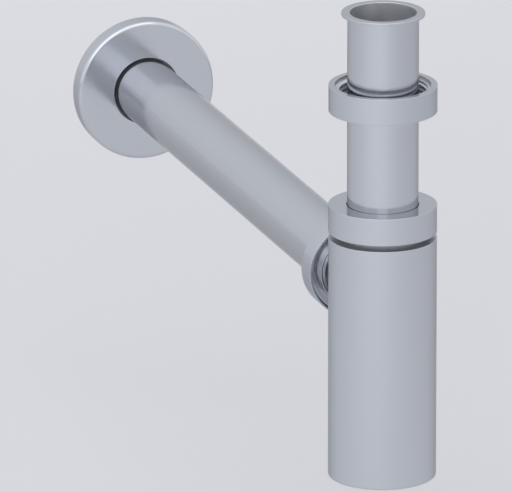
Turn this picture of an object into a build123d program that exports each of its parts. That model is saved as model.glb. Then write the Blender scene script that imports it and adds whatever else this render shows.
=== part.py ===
"""Bottle trap in chromed brass for a wash basin, with its union nut, slip joints, wall pipe and wall flange.

All sizes are in millimetres. The origin is the centre of the inlet collar's top face, where the trap hangs
from the basin waste. Z points up along the inlet tube and Y points along the outlet towards the wall.
"""
import os

from build123d import *

# Clearances between pieces
running_clearance = 0.05  # radial, between a pipe and the seal or socket that guides it
thread_clearance = 0.05  # radial, between the plain cylinders that carry mating threads
loose_clearance = 0.3  # radial, where a nut or a ring slides freely on a pipe
guide_clearance = 0.4  # radial, where the inlet tube drops through the body's neck
seal_clearance = 0.05  # radial, between a cone seal and its seat at rest
edge_break = 0.4  # chamfer that breaks the edges of turned pieces

# Inlet tube
inlet_radius = 16.0
inlet_wall = 1.0
collar_width = 2.7  # radial, from the tube's outside to the collar's rim
collar_thickness = 1.2
collar_root_radius = 0.8
collar_rounding = 0.42  # share of the collar's thickness that rounds each of its edges
foot_gap = 6.9  # from the tube's foot down to the cleaning plug

# Threads, as the plain cylinders that stand for them
thread_depth = 1.475  # of the G 1 1/4 thread, from root to crest
union_bore_play = 0.775  # radial, where the union nut's thread passes the collar
relief_play = 0.075  # how far the neck's relief lies under the thread's root

# Union nut, loose on the inlet tube with its mouth up
nut_wall = 3.4  # from the neck thread's crest to the nut's outside
union_nut_top = -33.6
union_nut_height = 12.0
union_nut_floor = 2.5
union_mouth_play = 0.55  # radial, between the mouth and the crest of the thread that it takes
union_mouth_depth = 1.5
union_lead_in = 0.8
nut_hole_chamfer = 0.6

# Trap body, a turned cup with a threaded neck
body_wall = 2.0
body_height = 112.0
body_top = -104.5
body_shoulder = 3.0
body_top_chamfer = 0.45
body_base_rounding = 1.0
nut_gap = 2.7  # open groove between the body and the clamp nut

# Clamp nut with its slip ring and cone seal, which hold the inlet tube
clamp_nut_height = 12.5
clamp_nut_roof = 2.5
slip_ring_thickness = 1.5
slip_ring_play = 0.3  # radial, between a slip ring and the nut round it
seal_lip = 1.2  # part of a cone seal that stands out of its seat
seal_depth = 5.0  # part of a cone seal that goes into its seat
seal_seat_top = 2.0  # radial width of the seal where it enters the seat
seal_seat_foot = 0.9  # radial width of the seal at its foot
seal_lip_edge = 0.3

# Outlet spigot, brazed through the body's side
outlet_drop = 26.7  # from the body's top down to the outlet's axis
spigot_wall = 0.9  # round the socket that takes the wall pipe
spigot_collar_width = 1.0  # radial, from the spigot's neck to its collars
spigot_collar_length = 6.15
spigot_neck_length = 4.1
spigot_shoulder_length = 2.8
spigot_stop_depth = 1.65  # from the body's side to the stop in the socket
spigot_stop_step = 0.8  # radial, how far the stop stands in under the pipe
outlet_thread_width = 3.95  # from the pipe's outside to the crest of the G 1 1/8 thread

# Outlet nut with its slip ring and cone seal
outlet_nut_wall = 3.05  # from the thread's crest to the nut's outside
outlet_nut_overlap = 1.9  # how far the nut hangs past the threaded head
outlet_nut_length = 11.7
outlet_nut_roof = 2.2
outlet_mouth_play = 1.55  # radial, round the thread's crest
outlet_mouth_depth = 2.2
outlet_ring_thickness = 1.3
outlet_seal_lip = 1.0
outlet_seal_depth = 4.5
outlet_seat_top = 1.5
outlet_seat_foot = 0.7

# Wall pipe and wall flange
pipe_radius = 15.0
pipe_wall = 1.0
pipe_length = 340.0
pipe_stop_gap = 7.0  # from the stop in the socket to the end of the pipe
pipe_tail = 33.0  # behind the finished wall, for the drain's socket
pipe_end_chamfer = 0.3
flange_radius = 33.4
flange_depth = 9.2
flange_wall = 1.3
flange_hole_gap = 1.0  # radial, open round the pipe
flange_edge_radius = 1.2
boss_wall = 2.4
boss_setback = 1.0
grip_groove_width = 3.0
grip_groove_depth = 1.0
grip_ring_edge = 0.4

# Cleaning plug, flush in the body's base
base_ring_width = 2.85  # of the body's base, round the plug's flange
base_seat_width = 2.0  # of the ledge that the O-ring seals on
plug_flange_thickness = 2.0
plug_flange_play = 0.2
plug_thread_length = 6.0
plug_stem_wall = 5.45
plug_hollow_depth = 5.0
plug_slot_width = 3.0
plug_slot_margin = 7.3  # from the slot's end to the rim of the plug
plug_slot_depth = 1.5
o_ring_section = 1.6
o_ring_play = 0.02
plug_edge_chamfer = 0.3

# Radii that follow along the inlet axis
inlet_bore = inlet_radius - inlet_wall
collar_radius = inlet_radius + collar_width
collar_edge_radius = collar_rounding * collar_thickness
union_thread_radius = collar_radius + union_bore_play  # inside of the union nut's thread
neck_thread_radius = union_thread_radius + thread_depth  # outside of the neck's thread
union_mouth_radius = neck_thread_radius + union_mouth_play
nut_radius = neck_thread_radius + nut_wall
nut_bore = neck_thread_radius + thread_clearance
nut_hole_radius = inlet_radius + loose_clearance
seal_bore = inlet_radius + running_clearance
neck_bore = inlet_radius + guide_clearance
neck_relief_depth = thread_depth + relief_play
body_radius = nut_radius
body_bore = body_radius - body_wall
plug_seat_radius = body_radius - base_ring_width
base_bore = plug_seat_radius - base_seat_width
plug_flange_radius = plug_seat_radius - plug_flange_play
plug_thread_radius = base_bore - thread_clearance
plug_hollow_radius = plug_thread_radius - plug_stem_wall
plug_slot_length = 2 * (plug_flange_radius - plug_slot_margin)

# Levels along the inlet axis
collar_underside = -collar_thickness
union_nut_bottom = union_nut_top - union_nut_height
clamp_nut_bottom = body_top + nut_gap
clamp_nut_top = clamp_nut_bottom + clamp_nut_height
slip_ring_top = clamp_nut_top - clamp_nut_roof
seal_top = slip_ring_top - slip_ring_thickness
neck_top = seal_top - seal_lip
seat_ledge = neck_top - seal_depth
body_base = body_top - body_height
outlet_height = body_top - outlet_drop
plug_seat = body_base + plug_flange_thickness + o_ring_section
plug_top = plug_seat + plug_thread_length
inlet_foot = plug_top + foot_gap

# Radii that follow along the outlet axis
outlet_nut_hole = pipe_radius + loose_clearance
outlet_seal_bore = pipe_radius + running_clearance
socket_bore = pipe_radius + 2 * running_clearance
spigot_stop_radius = pipe_radius - spigot_stop_step
spigot_radius = socket_bore + spigot_wall
spigot_collar_radius = spigot_radius + spigot_collar_width
outlet_thread_radius = pipe_radius + outlet_thread_width
outlet_nut_bore = outlet_thread_radius + thread_clearance
outlet_nut_radius = outlet_thread_radius + outlet_nut_wall
outlet_mouth_radius = outlet_thread_radius + outlet_mouth_play
flange_hole = pipe_radius + flange_hole_gap
boss_radius = flange_hole + boss_wall

# Places along the outlet axis
spigot_collar_end = body_radius + spigot_collar_length
spigot_neck_end = spigot_collar_end + spigot_neck_length
spigot_head_start = spigot_neck_end + spigot_shoulder_length
spigot_stop = body_radius + spigot_stop_depth
outlet_nut_start = spigot_head_start - outlet_nut_overlap
outlet_nut_end = outlet_nut_start + outlet_nut_length
outlet_ring_end = outlet_nut_end - outlet_nut_roof
outlet_seal_end = outlet_ring_end - outlet_ring_thickness
spigot_end = outlet_seal_end - outlet_seal_lip
outlet_ledge = spigot_end - outlet_seal_depth
pipe_start = spigot_stop + pipe_stop_gap
pipe_end = pipe_start + pipe_length
flange_back = pipe_end - pipe_tail  # the plane of the finished wall
flange_front = flange_back - flange_depth
grip_groove_start = flange_front + flange_wall + edge_break

outlet_axis = Axis((0, 0, outlet_height), (0, 1, 0))
outlet_section = Plane.XY.offset(outlet_height)
place_tolerance = 0.01

os.makedirs("parts", exist_ok=True)


def rings(builder, radius, place, along=Axis.Z):
    """Give the round edges of a turned piece that have this radius and lie at this place on its axis."""
    direction = along.direction

    def matches(edge):
        return (
            edge.geom_type == GeomType.CIRCLE
            and abs(edge.radius - radius) < place_tolerance
            and abs(edge.arc_center.dot(direction) - place) < place_tolerance
        )

    return builder.edges().filter_by(matches)


def across_outlet(place):
    """Give the plane that crosses the outlet's axis at this place and faces the wall."""
    return Plane(origin=(0, place, outlet_height), x_dir=(1, 0, 0), z_dir=(0, 1, 0))


def save(builder, label):
    """Name a finished piece and write it to its own file."""
    builder.part.label = label
    export_step(builder.part, f"parts/{label}.step")


# Inlet tube: drawn tube with its top rolled out into a sealing collar, and its foot dipping into the body
with BuildPart() as inlet_tube:
    with BuildSketch(Plane.XZ):
        with BuildLine():
            Polyline(
                (inlet_bore, inlet_foot),
                (inlet_bore, 0),
                (collar_radius, 0),
                (collar_radius, collar_underside),
                (inlet_radius, collar_underside),
                (inlet_radius, inlet_foot),
                close=True,
            )
        make_face()
    revolve(axis=Axis.Z)
    fillet(rings(inlet_tube, inlet_radius, collar_underside), radius=collar_root_radius)
    fillet(rings(inlet_tube, collar_radius, 0), radius=collar_edge_radius)
    fillet(rings(inlet_tube, collar_radius, collar_underside), radius=collar_edge_radius)
    fillet(rings(inlet_tube, inlet_bore, 0), radius=collar_edge_radius)
    chamfer(rings(inlet_tube, inlet_radius, inlet_foot), length=pipe_end_chamfer)
save(inlet_tube, "inlet_tube")

# Union nut: its threaded mouth takes the basin waste and its floor pulls on the underside of the collar
with BuildPart() as inlet_union_nut:
    with BuildSketch(Plane.XY.offset(union_nut_bottom)):
        Circle(nut_radius)
        Circle(nut_hole_radius, mode=Mode.SUBTRACT)
    extrude(amount=union_nut_height)
    with BuildSketch(Plane.XY.offset(union_nut_bottom + union_nut_floor)):
        Circle(union_thread_radius)
    extrude(amount=union_nut_height - union_nut_floor, mode=Mode.SUBTRACT)
    with BuildSketch(Plane.XY.offset(union_nut_top - union_mouth_depth)):
        Circle(union_mouth_radius)
    extrude(amount=union_mouth_depth, mode=Mode.SUBTRACT)
    chamfer(
        rings(inlet_union_nut, union_thread_radius, union_nut_top - union_mouth_depth),
        length=union_lead_in,
    )
    chamfer(
        rings(inlet_union_nut, nut_hole_radius, union_nut_bottom + union_nut_floor),
        length=nut_hole_chamfer,
    )
    chamfer(rings(inlet_union_nut, nut_radius, union_nut_top), length=edge_break)
    chamfer(rings(inlet_union_nut, nut_radius, union_nut_bottom), length=edge_break)
    chamfer(rings(inlet_union_nut, nut_hole_radius, union_nut_bottom), length=edge_break)
save(inlet_union_nut, "inlet_union_nut")

# Clamp nut: screws down on the body's neck and presses the slip ring on the cone seal
with BuildPart() as inlet_clamp_nut:
    with BuildSketch(Plane.XY.offset(clamp_nut_bottom)):
        Circle(nut_radius)
        Circle(nut_hole_radius, mode=Mode.SUBTRACT)
    extrude(amount=clamp_nut_height)
    with BuildSketch(Plane.XY.offset(clamp_nut_bottom)):
        Circle(nut_bore)
    extrude(amount=clamp_nut_height - clamp_nut_roof, mode=Mode.SUBTRACT)
    chamfer(rings(inlet_clamp_nut, nut_radius, clamp_nut_top), length=edge_break)
    chamfer(rings(inlet_clamp_nut, nut_radius, clamp_nut_bottom), length=edge_break)
    chamfer(rings(inlet_clamp_nut, nut_hole_radius, clamp_nut_top), length=edge_break / 2)
    chamfer(rings(inlet_clamp_nut, nut_bore, clamp_nut_bottom), length=edge_break)
save(inlet_clamp_nut, "inlet_clamp_nut")

# Slip ring: lets the clamp nut turn without twisting the seal
with BuildPart() as inlet_slip_ring:
    with BuildSketch(Plane.XY.offset(slip_ring_top)):
        Circle(nut_bore - slip_ring_play)
        Circle(nut_hole_radius, mode=Mode.SUBTRACT)
    extrude(amount=-slip_ring_thickness)
save(inlet_slip_ring, "inlet_slip_ring")

# Cone seal: a rubber ring wedged between the inlet tube and the coned mouth of the neck
with BuildPart() as inlet_cone_seal:
    with BuildSketch(Plane.XZ):
        with BuildLine():
            Polyline(
                (seal_bore, seal_top),
                (inlet_radius + seal_seat_top, seal_top),
                (inlet_radius + seal_seat_top, neck_top),
                (inlet_radius + seal_seat_foot, seat_ledge),
                (seal_bore, seat_ledge),
                close=True,
            )
        make_face()
    revolve(axis=Axis.Z)
    chamfer(rings(inlet_cone_seal, inlet_radius + seal_seat_top, seal_top), length=seal_lip_edge)
save(inlet_cone_seal, "inlet_cone_seal")

# Trap body: a cup with a shoulder and a threaded neck at its top, and the plug's thread in its base
with BuildPart() as trap_body:
    with BuildSketch(Plane.XZ):
        with BuildLine():
            Polyline(
                (neck_bore, body_top - body_shoulder),
                (neck_bore, seat_ledge),
                (inlet_radius + seal_seat_foot + seal_clearance, seat_ledge),
                (inlet_radius + seal_seat_top + seal_clearance, neck_top),
                (neck_thread_radius, neck_top),
                (neck_thread_radius, clamp_nut_bottom),
                (neck_thread_radius - neck_relief_depth, clamp_nut_bottom - neck_relief_depth),
                (neck_thread_radius - neck_relief_depth, body_top),
                (body_radius, body_top),
                (body_radius, body_base),
                (plug_seat_radius, body_base),
                (plug_seat_radius, plug_seat),
                (base_bore, plug_seat),
                (base_bore, plug_top),
                (body_bore, plug_top + body_bore - base_bore),
                (body_bore, body_top - body_shoulder),
                close=True,
            )
        make_face()
    revolve(axis=Axis.Z)
    with BuildSketch(across_outlet(0)):
        Circle(spigot_radius)
    extrude(amount=body_radius, mode=Mode.SUBTRACT)
    chamfer(rings(trap_body, body_radius, body_top), length=body_top_chamfer)
    chamfer(rings(trap_body, neck_thread_radius, neck_top), length=edge_break)
    fillet(rings(trap_body, body_radius, body_base), radius=body_base_rounding)
save(trap_body, "trap_body")

# Outlet spigot: a turned socket, shaped to the body's wall inside and outside, with a threaded head
with BuildPart() as outlet_spigot:
    with BuildSketch(across_outlet(0)):
        Circle(spigot_collar_radius)
    extrude(amount=spigot_collar_end)
    chamfer(rings(outlet_spigot, spigot_collar_radius, spigot_collar_end, Axis.Y), length=edge_break)
    with BuildSketch(Plane.XY.offset(body_base)):
        Circle(body_radius)
    extrude(amount=body_height, mode=Mode.SUBTRACT)
    with BuildSketch(across_outlet(0)):
        Circle(spigot_radius)
    extrude(amount=spigot_end)
    with BuildSketch(across_outlet(spigot_neck_end)):
        Circle(spigot_collar_radius)
    extrude(amount=spigot_end - spigot_neck_end)
    with BuildSketch(across_outlet(spigot_head_start)):
        Circle(outlet_thread_radius)
    extrude(amount=spigot_end - spigot_head_start)
    with BuildSketch(Plane.XY.offset(body_base)):
        Circle(body_bore)
    extrude(amount=body_height, mode=Mode.SUBTRACT)
    with BuildSketch(outlet_section):
        with BuildLine():
            Polyline(
                (0, 0),
                (spigot_stop_radius, 0),
                (spigot_stop_radius, spigot_stop),
                (socket_bore, spigot_stop),
                (socket_bore, outlet_ledge),
                (pipe_radius + outlet_seat_foot + seal_clearance, outlet_ledge),
                (pipe_radius + outlet_seat_top + seal_clearance, spigot_end),
                (0, spigot_end),
                close=True,
            )
        make_face()
    revolve(axis=outlet_axis, mode=Mode.SUBTRACT)
    chamfer(rings(outlet_spigot, spigot_collar_radius, spigot_neck_end, Axis.Y), length=edge_break)
    chamfer(rings(outlet_spigot, outlet_thread_radius, spigot_head_start, Axis.Y), length=edge_break)
    chamfer(rings(outlet_spigot, outlet_thread_radius, spigot_end, Axis.Y), length=edge_break)
save(outlet_spigot, "outlet_spigot")

# Cone seal of the wall pipe
with BuildPart() as outlet_cone_seal:
    with BuildSketch(outlet_section):
        with BuildLine():
            Polyline(
                (outlet_seal_bore, outlet_seal_end),
                (pipe_radius + outlet_seat_top, outlet_seal_end),
                (pipe_radius + outlet_seat_top, spigot_end),
                (pipe_radius + outlet_seat_foot, outlet_ledge),
                (outlet_seal_bore, outlet_ledge),
                close=True,
            )
        make_face()
    revolve(axis=outlet_axis)
    chamfer(
        rings(outlet_cone_seal, pipe_radius + outlet_seat_top, outlet_seal_end, Axis.Y),
        length=seal_lip_edge,
    )
save(outlet_cone_seal, "outlet_cone_seal")

# Slip ring of the outlet nut
with BuildPart() as outlet_slip_ring:
    with BuildSketch(across_outlet(outlet_seal_end)):
        Circle(outlet_nut_bore - slip_ring_play)
        Circle(outlet_nut_hole, mode=Mode.SUBTRACT)
    extrude(amount=outlet_ring_thickness)
save(outlet_slip_ring, "outlet_slip_ring")

# Outlet nut: its open end faces the body and its roof presses the slip ring on the seal
with BuildPart() as outlet_nut:
    with BuildSketch(across_outlet(outlet_nut_start)):
        Circle(outlet_nut_radius)
        Circle(outlet_nut_hole, mode=Mode.SUBTRACT)
    extrude(amount=outlet_nut_length)
    with BuildSketch(across_outlet(outlet_nut_start)):
        Circle(outlet_nut_bore)
    extrude(amount=outlet_nut_length - outlet_nut_roof, mode=Mode.SUBTRACT)
    with BuildSketch(across_outlet(outlet_nut_start)):
        Circle(outlet_mouth_radius)
    extrude(amount=outlet_mouth_depth, mode=Mode.SUBTRACT)
    chamfer(rings(outlet_nut, outlet_nut_radius, outlet_nut_start, Axis.Y), length=edge_break)
    chamfer(rings(outlet_nut, outlet_nut_radius, outlet_nut_end, Axis.Y), length=edge_break)
    chamfer(rings(outlet_nut, outlet_nut_hole, outlet_nut_end, Axis.Y), length=edge_break / 2)
save(outlet_nut, "outlet_nut")

# Wall pipe: pushed through the nut and seal into the socket, with its tail ready for the drain in the wall
with BuildPart() as wall_pipe:
    with BuildSketch(across_outlet(pipe_start)):
        Circle(pipe_radius)
        Circle(pipe_radius - pipe_wall, mode=Mode.SUBTRACT)
    extrude(amount=pipe_length)
    chamfer(rings(wall_pipe, pipe_radius, pipe_start, Axis.Y), length=pipe_end_chamfer)
    chamfer(rings(wall_pipe, pipe_radius, pipe_end, Axis.Y), length=pipe_end_chamfer)
save(wall_pipe, "wall_pipe")

# Wall flange: a pressed shell, open at the back, with a boss round the pipe that holds the grip ring
with BuildPart() as wall_flange:
    with BuildSketch(across_outlet(flange_front)):
        Circle(flange_radius)
    extrude(amount=flange_depth)
    fillet(rings(wall_flange, flange_radius, flange_front, Axis.Y), radius=flange_edge_radius)
    with BuildSketch(across_outlet(flange_front + flange_wall)):
        Circle(flange_radius - flange_wall)
    extrude(amount=flange_depth - flange_wall, mode=Mode.SUBTRACT)
    with BuildSketch(across_outlet(flange_front + flange_wall)):
        Circle(boss_radius)
    extrude(amount=flange_depth - flange_wall - boss_setback)
    with BuildSketch(across_outlet(flange_front)):
        Circle(flange_hole)
    extrude(amount=flange_depth, mode=Mode.SUBTRACT)
    with BuildSketch(across_outlet(grip_groove_start)):
        Circle(flange_hole + grip_groove_depth)
    extrude(amount=grip_groove_width, mode=Mode.SUBTRACT)
    chamfer(rings(wall_flange, flange_hole, flange_front, Axis.Y), length=edge_break)
save(wall_flange, "wall_flange")

# Grip ring: a rubber ring in the boss that keeps the flange where it is pushed on the pipe
with BuildPart() as flange_grip_ring:
    with BuildSketch(across_outlet(grip_groove_start)):
        Circle(flange_hole + grip_groove_depth)
        Circle(outlet_seal_bore, mode=Mode.SUBTRACT)
    extrude(amount=grip_groove_width)
    chamfer(rings(flange_grip_ring, outlet_seal_bore, grip_groove_start, Axis.Y), length=grip_ring_edge)
    chamfer(
        rings(flange_grip_ring, outlet_seal_bore, grip_groove_start + grip_groove_width, Axis.Y),
        length=grip_ring_edge,
    )
save(flange_grip_ring, "flange_grip_ring")

# Cleaning plug: a slotted disc with a hollow threaded stem
with BuildPart() as cleaning_plug:
    with BuildSketch(Plane.XY.offset(body_base)):
        Circle(plug_flange_radius)
    extrude(amount=plug_flange_thickness)
    with BuildSketch(Plane.XY.offset(body_base + plug_flange_thickness)):
        Circle(plug_thread_radius)
    extrude(amount=plug_top - body_base - plug_flange_thickness)
    with BuildSketch(Plane.XY.offset(plug_top)):
        Circle(plug_hollow_radius)
    extrude(amount=-plug_hollow_depth, mode=Mode.SUBTRACT)
    with BuildSketch(Plane.XY.offset(body_base)):
        SlotOverall(plug_slot_length, plug_slot_width)
    extrude(amount=plug_slot_depth, mode=Mode.SUBTRACT)
    chamfer(rings(cleaning_plug, plug_flange_radius, body_base), length=plug_edge_chamfer)
    chamfer(rings(cleaning_plug, plug_thread_radius, plug_top), length=plug_edge_chamfer)
    chamfer(rings(cleaning_plug, plug_hollow_radius, plug_top), length=edge_break)
save(cleaning_plug, "cleaning_plug")

# O-ring: lies round the plug's stem, between its flange and the seat in the body
with BuildPart() as plug_o_ring:
    with BuildSketch(Plane.XZ):
        with Locations(
            (
                base_bore + o_ring_section / 2,
                plug_seat - o_ring_section / 2,
            )
        ):
            Circle(o_ring_section / 2 - o_ring_play)
    revolve(axis=Axis.Z)
save(plug_o_ring, "plug_o_ring")
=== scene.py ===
"""Dresses the packed frame of a chromed bottle trap: turned pieces with real threads, in a pale studio.

The packed model gives the pieces their place and outside sizes. Lengths are in metres, as packed.
"""
import math

import bpy
from bpy.props import FloatProperty, FloatVectorProperty, IntProperty, PointerProperty
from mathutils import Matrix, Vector


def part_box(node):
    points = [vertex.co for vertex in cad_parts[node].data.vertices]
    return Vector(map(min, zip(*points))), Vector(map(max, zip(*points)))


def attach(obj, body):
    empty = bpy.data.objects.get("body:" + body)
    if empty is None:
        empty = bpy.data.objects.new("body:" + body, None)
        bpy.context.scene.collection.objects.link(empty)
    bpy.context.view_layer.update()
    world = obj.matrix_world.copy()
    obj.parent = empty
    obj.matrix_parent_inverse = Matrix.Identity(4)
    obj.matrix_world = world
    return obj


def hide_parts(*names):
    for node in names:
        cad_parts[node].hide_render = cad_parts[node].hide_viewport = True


bl_info = {
    "name": "Bottle Trap",
    "version": (1, 0, 0),
    "blender": (4, 5, 0),
    "location": "View3D > Sidebar > Bottle Trap",
    "description": "Builds the finished pieces of a chromed bottle trap around its packed frame",
    "category": "Add Mesh",
}

MM = 0.001
FULL_TURN = 2 * math.pi
NEAR = 0.00001  # how near two places have to be to count as the same
TURNED_SIDES = 192  # flat sides of a turned piece, too many to see
SMOOTH_ANGLE = math.radians(38)  # faces that meet at less than this are shaded as one curve

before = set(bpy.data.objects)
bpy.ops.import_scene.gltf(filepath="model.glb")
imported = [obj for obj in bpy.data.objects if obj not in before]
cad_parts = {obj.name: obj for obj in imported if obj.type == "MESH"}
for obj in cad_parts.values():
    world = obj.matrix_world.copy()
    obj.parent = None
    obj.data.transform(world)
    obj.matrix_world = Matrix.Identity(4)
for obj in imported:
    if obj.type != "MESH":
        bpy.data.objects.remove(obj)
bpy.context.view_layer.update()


def far_corner(node):
    """Give the highest corner of a packed node, where its outside radius and its far end are read."""
    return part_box(node)[1]


def near_corner(node):
    """Give the lowest corner of a packed node, where its near end is read."""
    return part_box(node)[0]


outlet_height = (far_corner("wall_pipe").z + near_corner("wall_pipe").z) / 2


def length(name, description, millimetres):
    """Make a length property that is given in millimetres and kept in metres."""
    return FloatProperty(
        name=name, description=description, default=millimetres * MM, min=0, unit="LENGTH", precision=5
    )


def offset(name, description, millimetres):
    """Make a property for a place, in millimetres to either side of where it is measured from."""
    return FloatProperty(name=name, description=description, default=millimetres * MM, unit="LENGTH")


def angle(name, description, degrees):
    """Make an angle property that is given in degrees."""
    return FloatProperty(name=name, description=description, default=math.radians(degrees), subtype="ANGLE")


def linear(hex_colour):
    """Turn an sRGB hex colour into linear red, green and blue."""
    shares = [int(hex_colour[i:i + 2], 16) / 255 for i in (1, 3, 5)]
    return tuple(s / 12.92 if s <= 0.04045 else ((s + 0.055) / 1.055) ** 2.4 for s in shares)


def colour(name, description, hex_colour):
    """Make a colour property from an sRGB hex colour."""
    return FloatVectorProperty(
        name=name, description=description, default=linear(hex_colour), min=0, max=1, subtype="COLOR"
    )


def lamp_place(lamp, right, front, over):
    """Make a place property in millimetres to the right, to the front and above the middle of the view."""
    return FloatVectorProperty(
        name="Place of " + lamp, description="Right, front and up from the middle of the view",
        default=(right * MM, front * MM, over * MM), unit="LENGTH",
    )


def lamp_power(lamp, watts):
    """Make a power property for a lamp."""
    return FloatProperty(name="Power of " + lamp, description="In watts", default=watts, min=0)


class TubeSizes(bpy.types.PropertyGroup):
    """Sizes of the inlet tube."""

    wall: length("Wall", "Thickness of the drawn tube", 1.0)
    collar_width: length("Collar width", "How far the collar stands out of the tube", 2.7)
    collar_thickness: length("Collar thickness", "Height of the rolled collar", 1.2)
    collar_edge: length("Collar edge", "Rounding of the collar's edges", 0.2)
    collar_root: length("Collar root", "Rounding under the collar", 0.8)
    end_edge: length("End edge", "Rounding of the cut ends", 0.3)


class ThreadSizes(bpy.types.PropertyGroup):
    """Sizes of the screw threads."""

    pitch: length("Pitch", "Travel of the nuts in one turn", 2.309)
    depth: length("Depth", "From root to crest of the nuts' threads", 1.475)
    plug_pitch: length("Plug pitch", "Travel of the plug in one turn", 1.5)
    plug_depth: length("Plug depth", "From root to crest of the plug's thread", 0.92)
    crest: length("Crest", "Width of the flat on a ridge", 0.3)
    root_play: length("Root play", "Room between a crest and the root that it faces", 0.05)
    sink: length("Sink", "How deep a ridge's foot goes into its wall", 0.1)
    flank: angle("Flank", "Slope of a ridge's side", 27.5)
    steps: IntProperty(name="Steps", description="Straight steps in one turn of a ridge", default=96, min=24)
    run_out: IntProperty(
        name="Run out", description="Steps over which each end of a ridge fades", default=16, min=1
    )
    last_rise: FloatProperty(
        name="Last rise", description="Share of its depth that a ridge keeps at its very ends", default=0.12
    )


class NutSizes(bpy.types.PropertyGroup):
    """Sizes of the union nut and the clamp nut."""

    hole_play: length("Hole play", "Radial room between a nut's hole and its tube", 0.3)
    bore: length("Bore radius", "Radius of the wall under the nuts' threads", 21.0)
    union_floor: length("Union floor", "Thickness of the union nut's floor", 2.5)
    union_mouth: length("Union mouth radius", "Radius of the union nut's mouth", 21.5)
    union_mouth_depth: length("Union mouth depth", "Depth of the union nut's mouth", 1.5)
    union_lead_in: length("Union lead-in", "Chamfer where the union nut's thread starts", 0.8)
    union_relief: length("Union relief", "Chamfer that clears the rounding under the collar", 0.6)
    clamp_roof: length("Clamp roof", "Thickness of the clamp nut's roof", 2.5)
    edge: length("Edge", "Rounding of the outer edges", 0.15)


class BodySizes(bpy.types.PropertyGroup):
    """Sizes of the trap body."""

    wall: length("Wall", "Thickness of the cup's wall", 2.0)
    shoulder: length("Shoulder", "Thickness under the neck", 3.0)
    height: length("Height", "From the base to the shoulder", 112.0)
    relief: length("Relief radius", "Radius of the neck under its thread", 19.4)
    relief_height: length("Relief height", "Bare neck between the shoulder and the thread", 1.2)
    band: length("Band", "Plain margin above and below the outlet's hole", 3.0)
    bore_play: length("Bore play", "Radial room round the inlet tube", 0.4)
    seat_foot: length("Seat foot", "Radial width of the coned seat at its foot", 0.95)
    seat_top: length("Seat top", "Radial width of the coned seat at its mouth", 2.05)
    base_ring: length("Base ring", "Width of the rim round the cleaning plug", 2.85)
    base_seat: length("Base seat", "Width of the ledge for the O-ring", 2.0)
    top_edge: length("Top edge", "Rounding of the shoulder", 0.2)
    base_edge: length("Base edge", "Rounding of the base", 1.0)


class OutletSizes(bpy.types.PropertyGroup):
    """Sizes of the outlet spigot and the outlet nut, measured along the outlet's axis."""

    neck: length("Neck radius", "Outside radius of the spigot's neck", 16.0)
    collar: length("Collar radius", "Outside radius of the spigot's two collars", 17.0)
    saddle_start: length("Saddle start", "Where the blanks start inside the body", 4.0)
    saddle_overlap: length("Saddle overlap", "How far the body's collar reaches into the neck", 0.5)
    saddle_end: length("Saddle end", "Where the collar on the body ends", 30.5)
    neck_end: length("Neck end", "Where the second collar starts", 34.6)
    head_start: length("Head start", "Where the threaded head starts", 37.4)
    head_rim: length("Head rim", "Thickness of the plain rim that starts the head", 0.8)
    stop: length("Stop", "Where the pipe's socket ends", 26.0)
    stop_radius: length("Stop radius", "Bore before the socket", 14.2)
    socket: length("Socket radius", "Bore that takes the wall pipe", 15.1)
    ledge: length("Ledge", "Foot of the coned seat", 38.2)
    seat_foot: length("Seat foot", "Radius of the coned seat at its foot", 15.75)
    seat_top: length("Seat top", "Radius of the coned seat at its mouth", 16.55)
    edge: length("Edge", "Rounding of the turned edges", 0.2)
    nut_roof: length("Nut roof", "Thickness of the outlet nut's roof", 2.2)
    nut_hole: length("Nut hole radius", "Hole that the wall pipe runs through", 15.3)
    nut_mouth: length("Nut mouth radius", "Radius of the nut's open end", 20.5)
    nut_mouth_depth: length("Nut mouth depth", "Depth of the nut's open end", 2.2)
    nut_flare: length("Nut flare", "How much the nut's open end widens outwards", 0.6)


class PipeSizes(bpy.types.PropertyGroup):
    """Sizes of the wall pipe and the wall flange."""

    wall: length("Pipe wall", "Thickness of the wall pipe", 1.0)
    end_edge: length("End edge", "Rounding of the pipe's ends", 0.3)
    sheet: length("Sheet", "Thickness of the pressed flange", 1.3)
    hole: length("Hole radius", "Hole in the flange's face", 16.0)
    boss_wall: length("Boss wall", "Thickness of the boss round the hole", 2.4)
    boss_setback: length("Boss setback", "From the boss's end to the wall", 1.0)
    face_edge: length("Face edge", "Rounding of the flange's rim", 1.6)
    fold: length("Fold", "Rounding inside the rim", 0.6)
    groove_depth: length("Groove depth", "Depth of the groove for the grip ring", 1.0)


class PlugSizes(bpy.types.PropertyGroup):
    """Sizes of the cleaning plug."""

    flange: length("Flange thickness", "Thickness of the plug's disc", 2.0)
    land: length("Land", "Length of the stem that carries the O-ring", 1.6)
    stem: length("Stem radius", "Radius of the thread's crest", 19.45)
    hollow: length("Hollow radius", "Radius of the hollow stem", 14.0)
    hollow_depth: length("Hollow depth", "Depth of the hollow stem", 5.0)
    slot_length: length("Slot length", "Length of the slot for a coin", 28.0)
    slot_width: length("Slot width", "Width of the slot for a coin", 3.0)
    slot_depth: length("Slot depth", "Depth of the slot for a coin", 1.5)
    edge: length("Edge", "Rounding of the rim", 0.3)


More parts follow.
